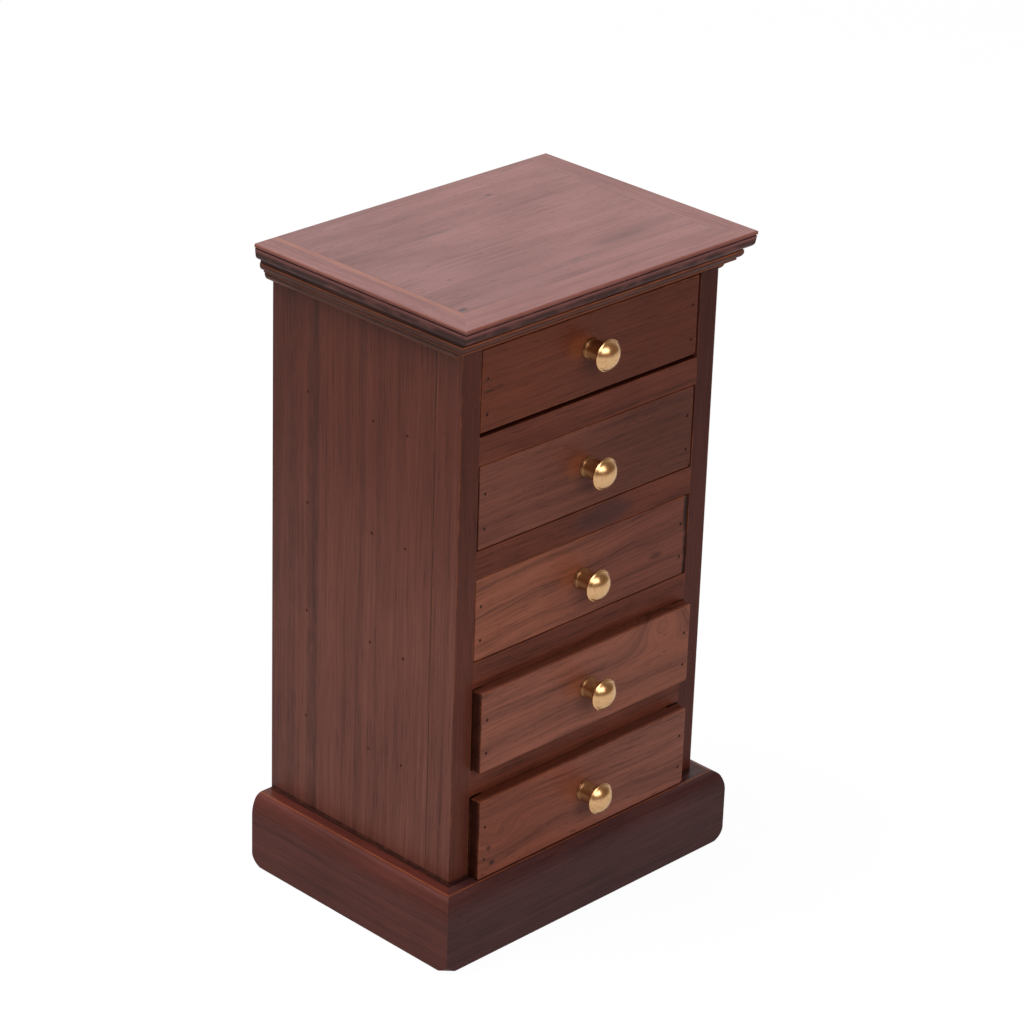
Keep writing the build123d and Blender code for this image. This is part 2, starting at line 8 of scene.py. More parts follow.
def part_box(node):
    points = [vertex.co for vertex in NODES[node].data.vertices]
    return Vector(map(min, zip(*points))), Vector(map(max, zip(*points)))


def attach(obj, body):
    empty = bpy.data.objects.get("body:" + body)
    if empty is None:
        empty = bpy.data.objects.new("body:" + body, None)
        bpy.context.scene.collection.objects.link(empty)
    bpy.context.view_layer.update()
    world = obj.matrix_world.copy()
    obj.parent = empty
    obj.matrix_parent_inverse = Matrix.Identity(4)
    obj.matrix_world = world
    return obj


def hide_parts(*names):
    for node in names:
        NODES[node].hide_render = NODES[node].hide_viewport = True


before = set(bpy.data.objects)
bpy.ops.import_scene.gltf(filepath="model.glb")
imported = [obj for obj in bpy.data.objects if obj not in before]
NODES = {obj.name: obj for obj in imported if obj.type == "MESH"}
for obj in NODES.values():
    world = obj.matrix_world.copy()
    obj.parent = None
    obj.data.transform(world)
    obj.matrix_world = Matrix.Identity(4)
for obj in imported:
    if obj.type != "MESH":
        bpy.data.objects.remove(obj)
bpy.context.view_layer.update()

bl_info = {
    "name": "Five-drawer desk chest",
    "version": (1, 0, 0),
    "blender": (4, 5, 0),
    "location": "View3D > Sidebar > Desk chest",
    "description": "Stained hardwood, turned brass knobs and a plain studio for a small chest of drawers",
    "category": "Object",
}

DRAWERS = (1, 2, 3, 4, 5)
MM_PER_METRE = 1000


def shade(red, green, blue):
    """A colour given as 0 to 255, as the linear numbers that Blender's colours hold."""
    parts = (red / 255, green / 255, blue / 255)
    return tuple(c / 12.92 if c <= 0.04045 else ((c + 0.055) / 1.055) ** 2.4 for c in parts)


# Dark colour for dirt, and for painted shade in the grooves of the mouldings and in the seams at the
# plinth.
DIRT_AND_SHADE = shade(38, 20, 15)
KNOT = shade(30, 16, 13)


def in_mm(node):
    """Lowest and highest corner of a node at rest, in millimetres."""
    low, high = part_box(node)
    return tuple(c * MM_PER_METRE for c in low), tuple(c * MM_PER_METRE for c in high)


# ---- shader building ------------------------------------------------------------------------

SQUARE_ROOT = 0.5


class Signal:
    """A value that varies over a surface. Arithmetic on numbers adds Math nodes."""

    def __init__(self, bench, socket):
        self.bench = bench
        self.socket = socket

    def math(self, operation, *others):
        values = dict(enumerate((self, *others)))
        return self.bench.add("ShaderNodeMath", {"operation": operation}, values)

    def swapped(self, operation, other):
        return self.bench.add("ShaderNodeMath", {"operation": operation}, {0: other, 1: self})

    def __add__(self, other):
        return self.math("ADD", other)

    def __radd__(self, other):
        return self.math("ADD", other)

    def __sub__(self, other):
        return self.math("SUBTRACT", other)

    def __rsub__(self, other):
        return self.swapped("SUBTRACT", other)

    def __mul__(self, other):
        return self.math("MULTIPLY", other)

    def __rmul__(self, other):
        return self.math("MULTIPLY", other)

    def __truediv__(self, other):
        return self.math("DIVIDE", other)

    def __rtruediv__(self, other):
        return self.swapped("DIVIDE", other)

    def __pow__(self, other):
        return self.math("POWER", other)

    def __abs__(self):
        return self.math("ABSOLUTE")

    def rise(self, low, high):
        """0 up to low and 1 from high on, eased between; falls instead where low is the larger."""
        return self.bench.add("ShaderNodeMapRange", {"interpolation_type": "SMOOTHSTEP"},
                              {"Value": self, "From Min": low, "From Max": high})


class Bench:
    """The node tree of one material or of the world."""

    def __init__(self, holder):
        holder.use_nodes = True
        self.tree = holder.node_tree
        self.tree.nodes.clear()

    def add(self, kind, settings=None, inputs=None, output=0):
        """Adds a node, makes its settings, fills or links its sockets and gives one output."""
        node = self.tree.nodes.new(kind)
        for name, value in (settings or {}).items():
            if name == "stops":
                elements = node.color_ramp.elements
                while len(elements) < len(value):
                    elements.new(0.5)
                for element, (place, colour) in zip(elements, value):
                    element.position = place
                    element.color = (*colour, 1)
            else:
                setattr(node, name, value)
        for name, value in (inputs or {}).items():
            if isinstance(value, Signal):
                self.tree.links.new(value.socket, node.inputs[name])
            else:
                node.inputs[name].default_value = value
        return Signal(self, node.outputs[output]) if node.outputs else node

    def place(self):
        """Object coordinates in millimetres, as three numbers."""
        spot = self.add("ShaderNodeTexCoord", output="Object")
        spot = self.scaled(spot, (MM_PER_METRE, MM_PER_METRE, MM_PER_METRE))
        return tuple(self.add("ShaderNodeSeparateXYZ", {}, {0: spot}, output=i) for i in range(3))

    def join(self, a, b, c):
        return self.add("ShaderNodeCombineXYZ", {}, {0: a, 1: b, 2: c})

    def scaled(self, vector, factors, shift=(0, 0, 0)):
        return self.add("ShaderNodeMapping", {}, {"Vector": vector, "Scale": factors, "Location": shift})

    def noise(self, vector, detail, rough=0.5):
        return self.add("ShaderNodeTexNoise", {},
                        {"Vector": vector, "Scale": 1.0, "Detail": detail, "Roughness": rough})

    def wander(self, number, detail):
        """Noise along one number."""
        return self.add("ShaderNodeTexNoise", {"noise_dimensions": "1D"},
                        {"W": number, "Scale": 1.0, "Detail": detail})

    def mix(self, factor, first, second, blend="MIX"):
        first = first if isinstance(first, Signal) else (*first, 1)
        second = second if isinstance(second, Signal) else (*second, 1)
        return self.add("ShaderNodeMix", {"data_type": "RGBA", "blend_type": blend},
                        {0: factor, 6: first, 7: second}, output=2)

    def spot(self, a, b, centre, size, soft=0.5):
        """1 in a small oval and 0 outside it, on two numbers that lie in the surface."""
        across = (a - centre[0]) / size[0]
        along = (b - centre[1]) / size[1]
        reach = (across * across + along * along) ** SQUARE_ROOT
        return reach.rise(1.0 + soft, 1.0 - soft)

    def finish(self, shader):
        self.add("ShaderNodeOutputMaterial", {}, {"Surface": shader})


# ---- wood -----------------------------------------------------------------------------------

# Each kind of unevenness in the wood: its length along the grain and its width, in millimetres.
DRIFT = (110, 40)
STREAK = (70, 1.5)
HAIR = (24, 1.0)
PORE = (7.0, 0.8)
BLOTCH = (60, 24)
HOLLOW = (40, 13)
RAGGED = (6, 3)
WORN = (26, 16)
BROKEN = (14, 5)

NOISE_MEAN = 0.5
STAIN_DEPTH = 0.44      # between the light stain at 0 and the dark one at 1
LIGHT_AT, MIDDLE_AT, DARK_AT = 0.1, 0.5, 0.9
SPECULAR = 0.12
BASE_ROUGHNESS = 0.46

Line = namedtuple("Line", "axis at half_width strength tint")
Spot = namedtuple("Spot", "across along centre size strength tint")
Wash = namedtuple("Wash", "axis start end tint")


def everywhere(tint):
    """A wash over the whole of a board."""
    return Wash("z", -60.0, -59.0, tint)


class Board:
    """One board's own coordinates and the unevenness that runs with its grain, in millimetres."""

    def __init__(self, bench, node, axes, seed, slant):
        self.bench = bench
        self.place = dict(zip("xyz", bench.place()))
        self.low, self.high = (dict(zip("xyz", corner)) for corner in in_mm(node))
        self.middle = {c: (self.low[c] + self.high[c]) / 2 for c in "xyz"}
        self.along, across, self.through = (self.from_middle(c) for c in axes)
        self.across = across - self.along * slant
        self.body = bench.join(self.along, self.across, self.through)
        self.shift = (seed * 7.31, seed * 3.17, seed * 5.53)

    def from_middle(self, axis):
        return self.place[axis] - self.middle[axis]

    def noise(self, size, detail, rough=0.5, vector=None):
        length, width = size
        scale = (1 / length, 1 / width, 1 / width)
        return self.bench.noise(self.bench.scaled(vector or self.body, scale, self.shift), detail, rough)

    def rings(self, heart_across, heart_behind, wobble, bends):
        """Distance from the heart of the tree, which draws the bands of the wood."""
        drift = self.noise(DRIFT, 2.0)
        across = self.across - heart_across
        behind = self.through - heart_behind
        field = (across * across + behind * behind) ** SQUARE_ROOT + (drift - NOISE_MEAN) * (wobble * 4)
        for centre, size, strength in bends:
            a = (self.along - centre[0]) / size[0]
            b = (self.across - centre[1]) / size[1]
            swell = (a * a + b * b) * -1
            field = field + swell.math("EXPONENT") * strength
        return field

    def rubbed_edges(self, width):
        """1 on the arrises where the finish is rubbed through, in ragged patches."""
        gaps = [(self.place[c] - self.low[c]).math("MINIMUM", self.high[c] - self.place[c]) for c in "xyz"]
        nearer = gaps[0].math("MINIMUM", gaps[1])
        further = gaps[0].math("MAXIMUM", gaps[1])
        edge = nearer.math("MAXIMUM", further.math("MINIMUM", gaps[2]))
        ragged = self.noise(RAGGED, 3.0)
        rub = (edge - (ragged - 0.45) * (width * 4)).rise(width * 1.3, width * 0.2)
        patchy = self.noise(WORN, 2.0).rise(0.38, 0.64)
        return rub * (patchy * 0.85 + 0.06)

    def along_line(self, line):
        """Strength of a line along a moulding, broken along its length; such lines carry rubbed wear, dirt,
        painted shade and painted highlights.
        """
        near = abs(self.place[line.axis] - line.at).rise(line.half_width, line.half_width * 0.3)
        broken = self.noise(BROKEN, 2.0).rise(0.25, 0.6)
        return near * (broken * 0.6 + 0.4) * line.strength

    def in_spot(self, spot):
        """1 in a mark with a ragged edge."""
        uneven = self.bench.noise(self.bench.scaled(self.body, (0.5, 0.7, 0.7), self.shift), 2.0)
        ragged = (uneven - NOISE_MEAN) * min(spot.size)
        return self.bench.spot(self.from_middle(spot.across) + ragged,
                               self.from_middle(spot.along) + ragged, spot.centre, spot.size)


def wood(name, node, axes, tones, seed, rings=(45.0, 20.0, 4.5), wobble=1.5, figure=0.3,
         streaks=0.6, blotches=0.4, bends=(), spots=(), lines=(), washes=(), arris=None, gloss=0.0,
         slant=0.0, varnish=0.06, polish=None, haze=0.2, pores=0.45):
    """Stained hardwood for one board.

    axes names the directions along the grain, across the face and through the thickness.
    tones are the light, middle and dark stain. rings are the heart's place across and behind the
    board's middle, and the width of a band. wobble is how far the bands wander. figure, streaks
    and blotches are how much the bands, the streaks and the cloudy stain show. bends swell the
    bands round a knot. spots are marks on a face, placed from the board's middle; one of them is a
    painted glow beside a knob. lines are lines along a moulding, placed on the chest: rubbed wear,
    dirt, painted shade in the grooves and painted highlights on the beads. washes are tints, some
    of them painted shade, that come up from one place to another along an axis, from the board's
    middle. arris is the width, colour and strength of the rubbed edges. slant tips the grain across
    the face. polish is an axis, the two places between which extra varnish comes up, and how much.
    haze is the roughness of the varnish, and pores is how dark the open pores are.
    """
    material = bpy.data.materials.new(name)
    bench = Bench(material)
    board = Board(bench, node, axes, seed, slant)
    heart_across, heart_behind, band = rings
    field = board.rings(heart_across, heart_behind, wobble, bends)
    bands = bench.wander(field / band + seed * 1.7, 3.0)
    late = bench.wander(field / (band * 0.4) + seed * 3.1, 2.0).rise(0.58, 0.72)
    grain = bench.join(board.along, field, board.through)
    streak = board.noise(STREAK, 4.0, 0.65, grain)
    hair = board.noise(HAIR, 2.0, 0.6, grain).rise(0.54, 0.68)
    blotch = board.noise(BLOTCH, 3.0, 0.55)
    pore = board.noise(PORE, 1.0, vector=grain).rise(0.64, 0.74)

    depth = (STAIN_DEPTH + (bands - NOISE_MEAN) * (figure * 1.7) + (late - 0.25) * (figure * 0.35)
             + (streak - NOISE_MEAN) * (streaks * 1.7) + (hair - 0.3) * (streaks * 0.34)
             + (blotch - NOISE_MEAN) * blotches)
    stops = list(zip((LIGHT_AT, MIDDLE_AT, DARK_AT), tones))
    colour = bench.add("ShaderNodeValToRGB", {"stops": stops}, {0: depth})
    colour = bench.mix(pore * pores, colour, tones[2])
    for wash in washes:
        tinted = bench.mix(1.0, colour, wash.tint, "MULTIPLY")
        colour = bench.mix(board.from_middle(wash.axis).rise(wash.start, wash.end), colour, tinted)
    rub = None
    if arris:
        width, wear_and_highlight, strength = arris
        rub = board.rubbed_edges(width) * strength
        colour = bench.mix(rub, colour, wear_and_highlight)
    for line in lines:
        colour = bench.mix(board.along_line(line), colour, line.tint)
    pit = pore * -0.06 - hair * 0.02
    for spot in spots:
        dot = board.in_spot(spot)
        colour = bench.mix(dot * spot.strength, colour, spot.tint)
        if spot.tint == KNOT:
            pit = pit - dot * (0.2 * spot.strength)

    relief = pit + streak * 0.06 + board.noise(HOLLOW, 1.0) * 0.30
    normal = bench.add("ShaderNodeBump", {}, {"Strength": 1.0, "Distance": 0.001, "Height": relief})
    roughness = BASE_ROUGHNESS - gloss + (streak - NOISE_MEAN) * 0.14 + (blotch - NOISE_MEAN) * 0.14
    if rub:
        roughness = roughness + rub * 0.08
    if polish:
        axis, start, end, more = polish
        varnish = board.from_middle(axis).rise(start, end) * more + varnish
    shader = bench.add("ShaderNodeBsdfPrincipled", {},
                       {"Base Color": colour, "Roughness": roughness, "Normal": normal,
                        "Specular IOR Level": SPECULAR, "Coat Weight": varnish, "Coat Roughness": haze})
    bench.finish(shader)
    return material


def dress(node, material):
    """Puts a material on a CAD node's slots."""
    slots = NODES[node].material_slots
    if not slots:
        NODES[node].data.materials.append(material)
    for slot in slots:
        slot.material = material


# ---- modelling ------------------------------------------------------------------------------

WELD = 1e-6
SMOOTH_BELOW = math.radians(32)


def clear_selection():
    """Nothing stays selected, so the next tool acts on its own piece only."""
    bpy.ops.object.select_all(action="DESELECT")
    bpy.context.view_layer.objects.active = None


def turned(name, centre, profile, segments):
    """Turns a piece on a lathe axis along -Y: profile is (distance forward, radius) from its seat."""
    clear_selection()
    start, radius = profile[0]
    seat = Vector(centre) + Vector((0, -start, 0))
    bpy.ops.mesh.primitive_circle_add(vertices=segments, radius=radius, fill_type="NGON",
                                      location=seat, rotation=(math.pi / 2, 0, 0))
    piece = bpy.context.object
    piece.name = name
    piece.data.name = name
    bpy.ops.object.mode_set(mode="EDIT")
    bpy.ops.mesh.select_all(action="SELECT")
    for forward, wider in profile[1:]:
        bpy.ops.mesh.extrude_region_move(
            TRANSFORM_OT_translate={"value": (0, start - forward, 0)})
        factor = wider / radius
        bpy.ops.transform.resize(value=(factor, 1, factor),
                                 center_override=Vector(centre) + Vector((0, -forward, 0)))
        start, radius = forward, wider
    bpy.ops.mesh.merge(type="CENTER")
    bpy.ops.mesh.select_all(action="SELECT")
    bpy.ops.mesh.remove_doubles(threshold=WELD)
    bpy.ops.mesh.normals_make_consistent(inside=False)
    bpy.ops.object.mode_set(mode="OBJECT")
    bpy.ops.object.transform_apply(location=True, rotation=True, scale=True)
    bpy.ops.object.shade_smooth_by_angle(angle=SMOOTH_BELOW)
    return piece


# ---- settings -------------------------------------------------------------------------------

def stain(label, text, colour):
    return bpy.props.FloatVectorProperty(name=label, description=text, subtype="COLOR", size=3,
                                         min=0, max=1, default=shade(*colour))


def length(label, text, size):
    return bpy.props.FloatProperty(name=label, description=text, default=size, min=0,
                                   unit="LENGTH", precision=4)


class CHEST_PG_stains(bpy.types.PropertyGroup):
    """Wood stains of the chest."""

    top_light: stain("Top, light", "Light wood of the top", (146, 92, 86))
    top_middle: stain("Top, middle", "Middle tone of the top", (123, 72, 67))
    top_dark: stain("Top, dark", "Dark bands of the top", (92, 48, 44))
    side_light: stain("Sides, light", "Light wood of the side panels", (134, 80, 66))
    side_middle: stain("Sides, middle", "Middle tone of the side panels", (114, 66, 55))
    side_dark: stain("Sides, dark", "Dark grain of the side panels", (80, 43, 36))
    frame_light: stain("Frame, light", "Light wood of the stiles and rails", (112, 62, 50))
    frame_middle: stain("Frame, middle", "Middle tone of the stiles and rails", (94, 50, 40))
    frame_dark: stain("Frame, dark", "Dark grain of the stiles and rails", (62, 30, 23))
    front_light: stain("Drawers, light", "Light wood of the drawer fronts", (134, 76, 58))
    front_middle: stain("Drawers, middle", "Middle tone of the drawer fronts", (112, 63, 48))
    front_dark: stain("Drawers, dark", "Dark grain of the drawer fronts", (74, 38, 29))
    moulding_light: stain("Mouldings, light", "Light wood of the mouldings", (114, 66, 52))
    moulding_middle: stain("Mouldings, middle", "Middle tone of the mouldings", (78, 42, 33))
    moulding_dark: stain("Mouldings, dark", "Dark grain of the mouldings", (38, 18, 13))
    plinth_light: stain("Plinth, light", "Light wood of the plinth", (114, 64, 54))
    plinth_middle: stain("Plinth, middle", "Middle tone of the plinth", (96, 52, 44))
    plinth_dark: stain("Plinth, dark", "Dark grain of the plinth", (62, 32, 28))
    inner_light: stain("Inside, light", "Light wood of the drawer boxes", (180, 132, 98))
    inner_middle: stain("Inside, middle", "Middle tone of the drawer boxes", (150, 103, 74))
    inner_dark: stain("Inside, dark", "Dark grain of the drawer boxes", (106, 68, 47))
    # Also the colour of the painted highlights on the moulding beads and of the painted glow beside the
    # knobs.
    wear_and_highlight: stain("Rubbed edges", "Wood showing where the finish is rubbed through", (156, 86, 50))


class CHEST_PG_knobs(bpy.types.PropertyGroup):
    """Sizes and colour of the turned knobs."""

    base_radius: length("Base radius", "Radius of the flange on the drawer front", 0.0064)
    waist_radius: length("Waist radius", "Narrowest radius of the neck", 0.0059)
    brass: stain("Brass", "Colour of the polished brass", (230, 184, 134))
    tarnish: stain("Tarnish", "Colour of the tarnished brass", (186, 126, 80))
    segments: bpy.props.IntProperty(name="Segments", description="Sides of the turned shape",
                                    default=72, min=16, max=256)


class CHEST_PG_stage(bpy.types.PropertyGroup):
    """The studio round the chest."""

    floor_size: length("Floor size", "Side of the square floor", 5.0)
    key_power: bpy.props.FloatProperty(name="Key lamp", description="Power of the large front lamp",
                                       default=16.0, min=0, unit="POWER")
    top_power: bpy.props.FloatProperty(name="Top lamp", description="Power of the lamp overhead",
                                       default=34.0, min=0, unit="POWER")
    fill: bpy.props.FloatProperty(name="Room light", description="Even light from all round",
                                  default=0.38, min=0, max=2, subtype="FACTOR")


def tones(settings, part):
    """Light, middle and dark stain of a part."""
    return tuple(tuple(getattr(settings, f"{part}_{tone}")) for tone in ("light", "middle", "dark"))


# ---- operators ------------------------------------------------------------------------------

# The photograph's view, solved from the edges of the case.
CAMERA_PLACE = (-1.36696, -1.34302, 1.12776)
CAMERA_TURN, CAMERA_TILT, CAMERA_ROLL = (math.radians(angle) for angle in (45.594, 25.192, 1.892))
CAMERA_LENS = 130.36
CAMERA_SENSOR = 36

FLOOR_MIDDLE = (0.15, 0.15, 0)
FLOOR_GLOW = 1.09
BRIGHT_SIDE = (0.15, 0.85, 0.30)
WARM = (1.0, 0.68, 0.44)
LAMP_AIM = Vector((0, 0, 0.2))
LAMP_DISTANCE = 2.3


class CHEST_OT_stage(bpy.types.Operator):
    """Floor, room light, lamps and the camera at the photograph's view"""

    bl_idname = "chest.stage"
    bl_label = "Studio"

    def execute(self, context):
        settings = context.scene.chest_stage
        self.camera(context.scene)
        self.floor(settings)
        self.room(context.scene, settings)
        self.lamps(settings)
        context.scene.view_settings.view_transform = "Standard"
        return {"FINISHED"}

    def camera(self, scene):
        flat = math.cos(CAMERA_TILT)
        ahead = Vector((math.sin(CAMERA_TURN) * flat, math.cos(CAMERA_TURN) * flat, -math.sin(CAMERA_TILT)))
        right = Vector((math.cos(CAMERA_TURN), -math.sin(CAMERA_TURN), 0))
        up = right.cross(ahead)
        rolled_right = right * math.cos(CAMERA_ROLL) + up * math.sin(CAMERA_ROLL)
        rolled_up = up * math.cos(CAMERA_ROLL) - right * math.sin(CAMERA_ROLL)
        clear_selection()
        bpy.ops.object.camera_add(location=CAMERA_PLACE)
        camera = bpy.context.object
        camera.name = "photo_camera"
        turned_to = Matrix((rolled_right, rolled_up, -ahead)).transposed()
        camera.rotation_euler = turned_to.to_euler()
        camera.data.lens = CAMERA_LENS
        camera.data.sensor_width = CAMERA_SENSOR
        camera.data.clip_start = 0.05
        scene.camera = camera

    def floor(self, settings):
        clear_selection()
        bpy.ops.mesh.primitive_plane_add(size=settings.floor_size, location=FLOOR_MIDDLE)
        floor = bpy.context.object
        floor.name = "studio_floor"
        bpy.ops.object.transform_apply(location=True)
        material = bpy.data.materials.new("pale_paper")
        bench = Bench(material)
        grey = bench.noise(bench.add("ShaderNodeTexCoord", output="Object"), 2.0)
        paper = bench.mix(grey * 0.2, shade(182, 182, 182), shade(176, 176, 176))
        matt = bench.add("ShaderNodeBsdfDiffuse", {}, {"Color": paper})
        bright = bench.add("ShaderNodeEmission", {}, {"Color": (1, 1, 1, 1), "Strength": FLOOR_GLOW})
        seen = bench.add("ShaderNodeLightPath", output="Is Camera Ray")
        mirrored = bench.add("ShaderNodeLightPath", output="Is Glossy Ray")
        bench.finish(bench.add("ShaderNodeMixShader", {},
                               {0: seen * 0.88 + mirrored * 0.5, 1: matt, 2: bright}))
        floor.data.materials.append(material)

    def room(self, scene, settings):
        """White where the camera sees past the floor; reflections get a bright back and a dark front."""
        world = bpy.data.worlds.new("studio_room")
        scene.world = world
        bench = Bench(world)
        sight = bench.add("ShaderNodeTexCoord", output="Generated")
        facing = bench.add("ShaderNodeVectorMath", {"operation": "DOT_PRODUCT"},
                           {0: sight, 1: BRIGHT_SIDE}, output="Value")
        seen = bench.add("ShaderNodeLightPath", output="Is Camera Ray")
        mirrored = bench.add("ShaderNodeLightPath", output="Is Glossy Ray")
        gloss = facing.rise(-0.15, 0.55) * 0.9 + 0.2
        level = settings.fill * (1 - mirrored) + mirrored * gloss
        level = level * (1 - seen) + seen
        warm = facing.rise(0.2, -0.3) * mirrored
        tone = bench.mix(warm, (1.0, 1.0, 1.0), WARM)
        light = bench.add("ShaderNodeBackground", {}, {"Color": tone, "Strength": level})
        bench.add("ShaderNodeOutputWorld", {}, {"Surface": light})

    def lamps(self, settings):
        lamps = {
            "front_lamp": ((-0.22, -0.82, 0.52), (1.6, 0.9), settings.key_power),
            "top_lamp": ((-0.30, 0.25, 0.92), (1.3, 1.3), settings.top_power),
        }
        for name, (way, size, power) in lamps.items():
            clear_selection()
            towards = Vector(way).normalized()
            bpy.ops.object.light_add(type="AREA", location=LAMP_AIM + towards * LAMP_DISTANCE)
            lamp = bpy.context.object
            lamp.name = name
            lamp.rotation_euler = towards.to_track_quat("Z", "Y").to_euler()
            lamp.data.shape = "RECTANGLE"
            lamp.data.size, lamp.data.size_y = size
            lamp.data.energy = power


class CHEST_OT_top(bpy.types.Operator):
    """Stains the top board and its mitred edging"""

    bl_idname = "chest.top"
    bl_label = "Top"

    def execute(self, context):
        stains = context.scene.chest_stains
        top = tones(stains, "top")
        wear_and_highlight = tuple(stains.wear_and_highlight)
        upper_face = ("z", 3.6, 4.6, 0.5)
        shadow = shade(70, 40, 38)
        seams = [Line("x", -96.8, 0.7, 0.5, shadow), Line("x", 96.8, 0.7, 0.5, shadow),
                 Line("y", -58.4, 0.7, 0.5, shadow)]
        knots = [Spot("x", "y", (-94.0, -70.0), (3.2, 1.6), 0.8, KNOT),
                 Spot("x", "y", (38.0, 45.0), (2.4, 1.1), 0.7, KNOT),
                 Spot("x", "y", (-70.0, -35.0), (1.8, 0.9), 0.5, KNOT)]
        dark_streaks = [Spot("x", "y", (10.0, -58.0), (16.0, 2.2), 0.22, KNOT),
                        Spot("x", "y", (48.0, -50.0), (20.0, 2.6), 0.3, KNOT),
                        Spot("x", "y", (-30.0, 20.0), (15.0, 1.6), 0.25, KNOT)]
        dress("top_board", wood("top_wood", "top_board", "xyz", top, 3.0, rings=(180.0, -60.0, 12.0),
                                figure=0.28, streaks=0.42, blotches=0.8, gloss=0.02, haze=0.42,
                                polish=upper_face, pores=1.0, lines=seams,
                                washes=[Wash("x", 40.0, -90.0, (0.87, 0.88, 0.92))],
                                spots=knots + dark_streaks))
        grain = {"top_edge_front": "xyz", "top_edge_left": "yxz", "top_edge_right": "yxz"}
        for number, (node, axes) in enumerate(grain.items()):
            up = in_mm(node)[1][2]
            pale = [Line("x", -99.0, 3.0, 0.4, shade(168, 104, 76))] if node == "top_edge_left" else []
            # Painted shade in the groove and the hollow under the lip of the top.
            painted_groove_shade = Line("z", up - 2.6, 0.8, 0.9, DIRT_AND_SHADE)
            painted_hollow_shade = Line("z", up - 7.0, 3.6, 0.85, DIRT_AND_SHADE)
            arris = Line("z", up - 0.7, 0.6, 0.5, wear_and_highlight)
            dress(node, wood(node + "_wood", node, axes, top, 11.0 + number, rings=(60.0, -20.0, 9.0),
                             figure=0.3, streaks=0.5, blotches=0.5, varnish=0.05, haze=0.42,
                             polish=upper_face, pores=0.7, lines=[*pale, painted_groove_shade, painted_hollow_shade, arris]))
        return {"FINISHED"}


class CHEST_OT_mouldings(bpy.types.Operator):
    """Stains the cornice and the plinth"""

    bl_idname = "chest.mouldings"
    bl_label = "Mouldings"

    def execute(self, context):
        stains = context.scene.chest_stains
        wear_and_highlight = tuple(stains.wear_and_highlight)
        case_front = in_mm("stile_left")[0][1]
        for number, (side, axes) in enumerate({"front": "xzy", "left": "yzx", "right": "yzx"}.items()):
            self.cornice(f"cornice_{side}", axes, stains, 21.0 + number, wear_and_highlight)
            edge = {"front": ("y", case_front - 8.6), "left": ("x", -108.6), "right": ("x", 108.6)}[side]
            # The front plinth's wash is darker than the sides': painted shade on the front face.
            tint = (0.52, 0.54, 0.68) if side == "front" else (0.8, 0.61, 0.58)
            self.plinth(f"plinth_{side}", axes, stains, 31.0 + number, wear_and_highlight, edge, tint)
        return {"FINISHED"}

    def cornice(self, node, axes, stains, seed, wear_and_highlight):
        """Painted shade in the grooves and light lines on the beads, part rubbed wear and part painted
        highlight, at their heights below the upper face.
        """
        up = in_mm(node)[1][2]
        lines = [Line("z", up - 0.8, 1.1, 0.9, DIRT_AND_SHADE), Line("z", up - 2.8, 0.6, 0.75, wear_and_highlight),
                 Line("z", up - 7.1, 0.4, 0.9, DIRT_AND_SHADE), Line("z", up - 7.9, 0.6, 0.5, wear_and_highlight),
                 Line("z", up - 8.8, 0.4, 0.9, DIRT_AND_SHADE), Line("z", up - 12.4, 2.0, 0.35, wear_and_highlight)]
        dress(node, wood(node + "_wood", node, axes, tones(stains, "moulding"), seed, varnish=0.03,
                         lines=lines))

    def plinth(self, node, axes, stains, seed, wear_and_highlight, edge, tint):
        """A line on the rounded upper edge, part rubbed wear and part painted highlight, and dirt with
        painted shade in the seam with the case.
        """
        axis, place = edge
        inward = math.copysign(7.4, place)
        # The first line is rubbed wear with painted highlight on the round; the second is dirt with painted
        # shade in the seam.
        lines = [Line(axis, place, 0.7, 0.6, wear_and_highlight), Line(axis, place - inward, 1.8, 0.85, DIRT_AND_SHADE)]
        dress(node, wood(node + "_wood", node, axes, tones(stains, "plinth"), seed, rings=(70.0, 40.0, 7.0),
                         streaks=0.55, blotches=0.9, gloss=0.06, washes=[everywhere(tint)], lines=lines))


